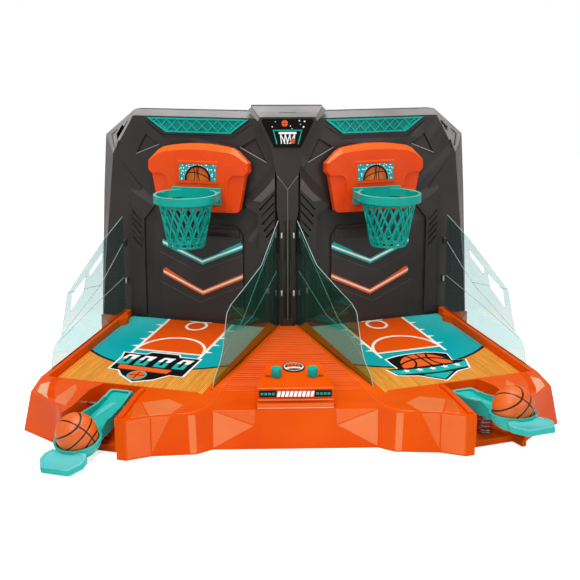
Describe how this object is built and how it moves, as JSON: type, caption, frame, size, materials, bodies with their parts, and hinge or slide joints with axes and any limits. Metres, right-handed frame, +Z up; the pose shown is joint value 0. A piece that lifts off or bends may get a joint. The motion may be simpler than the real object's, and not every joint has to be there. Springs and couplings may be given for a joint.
{
  "type": "tabletop basketball hoop machine",
  "caption": "Tabletop basketball game with splayed lanes: sloping courts, tall back panels with hoops, clear side shields, spring ball launchers and a score console.",
  "frame": {"origin": "on the resting plane, on the plane of symmetry, under the flat bottom plate between the lanes", "axes": "+X to the players' right, +Y towards the back, +Z up"},
  "size_m": [0.4196, 0.3216, 0.2407],
  "materials": {
    "orange_plastic": "glossy moulded",
    "charcoal_plastic": "satin moulded",
    "teal_plastic": "glossy moulded",
    "grey_plastic": "matt moulded",
    "clear_sheet": "clear, tinted",
    "court_print": "printed",
    "teal_print": "printed",
    "orange_print": "printed",
    "black_print": "printed",
    "white_plastic": "satin",
    "ball_rubber": "pebbled",
    "steel": "bright wire"
  },
  "bodies": {
    "root": {"base_shell": "orange_plastic", "base_bottom_plate": "grey_plastic", "base_screw_1": "steel", "base_screw_2": "steel", "base_screw_3": "steel", "base_screw_4": "steel", "base_screw_5": "steel", "base_screw_6": "steel", "centre_spine": "charcoal_plastic", "picture_plate": "black_print", "console_cover": "orange_plastic", "console_badge": "teal_plastic", "back_panel_left": "charcoal_plastic", "rear_cover_left": "charcoal_plastic", "panel_grille_left": "teal_plastic", "chevron_upper_left": "teal_plastic", "chevron_lower_left": "orange_print", "backboard_left": "orange_plastic", "backboard_sticker_left": "teal_print", "hoop_rim_left": "teal_plastic", "hoop_net_left": "teal_plastic", "shield_outer_left": "clear_sheet", "shield_inner_left": "clear_sheet", "court_left": "court_print", "launcher_pin_left": "steel", "launcher_spring_left": "steel", "console_label_left": "black_print", "back_panel_right": "charcoal_plastic", "rear_cover_right": "charcoal_plastic", "panel_grille_right": "teal_plastic", "chevron_upper_right": "teal_plastic", "chevron_lower_right": "orange_print", "backboard_right": "orange_plastic", "backboard_sticker_right": "teal_print", "hoop_rim_right": "teal_plastic", "hoop_net_right": "teal_plastic", "shield_outer_right": "clear_sheet", "shield_inner_right": "clear_sheet", "court_right": "court_print", "launcher_pin_right": "steel", "launcher_spring_right": "steel", "console_label_right": "black_print"},
    "lever_left": {"launcher_lever_left": "teal_plastic"},
    "ball_left": {"ball_left": "ball_rubber"},
    "knob_left": {"score_knob_left": "teal_plastic", "score_dial_left": "white_plastic"},
    "lever_right": {"launcher_lever_right": "teal_plastic"},
    "ball_right": {"ball_right": "ball_rubber"},
    "knob_right": {"score_knob_right": "teal_plastic", "score_dial_right": "white_plastic"}
  },
  "joints": [
    {"name": "lever_press_right", "type": "hinge", "parent": "root", "child": "lever_right", "pos_m": [0.13679, -0.07394, 0.022], "axis": [0.9314, 0.3641, 0], "range_deg": [0, 15.5], "stiffness_Nm_per_rad": 0.11, "springref_deg": -16.04, "deforming": ["launcher_spring_right"]},
    {"name": "ball_lift_right", "type": "slide", "parent": "lever_right", "child": "ball_right", "axis": [0, 0, 1], "range_m": [0, 0.06]},
    {"name": "knob_turn_right", "type": "hinge", "parent": "root", "child": "knob_right", "pos_m": [0.0137, -0.08927, 0.04922], "axis": [0, -0.165, 0.9863], "continuous": true},
    {"name": "lever_press_left", "type": "hinge", "parent": "root", "child": "lever_left", "pos_m": [-0.13679, -0.07394, 0.022], "axis": [0.9314, -0.3641, 0], "range_deg": [-15.5, 0], "stiffness_Nm_per_rad": 0.11, "springref_deg": -32.09, "deforming": ["launcher_spring_left"]},
    {"name": "ball_lift_left", "type": "slide", "parent": "lever_left", "child": "ball_left", "axis": [-0.0973, -0.2489, 0.9636], "range_m": [0, 0.06]},
    {"name": "knob_turn_left", "type": "hinge", "parent": "root", "child": "knob_left", "pos_m": [-0.0137, -0.08927, 0.04922], "axis": [0, -0.165, 0.9863], "continuous": true}
  ]
}
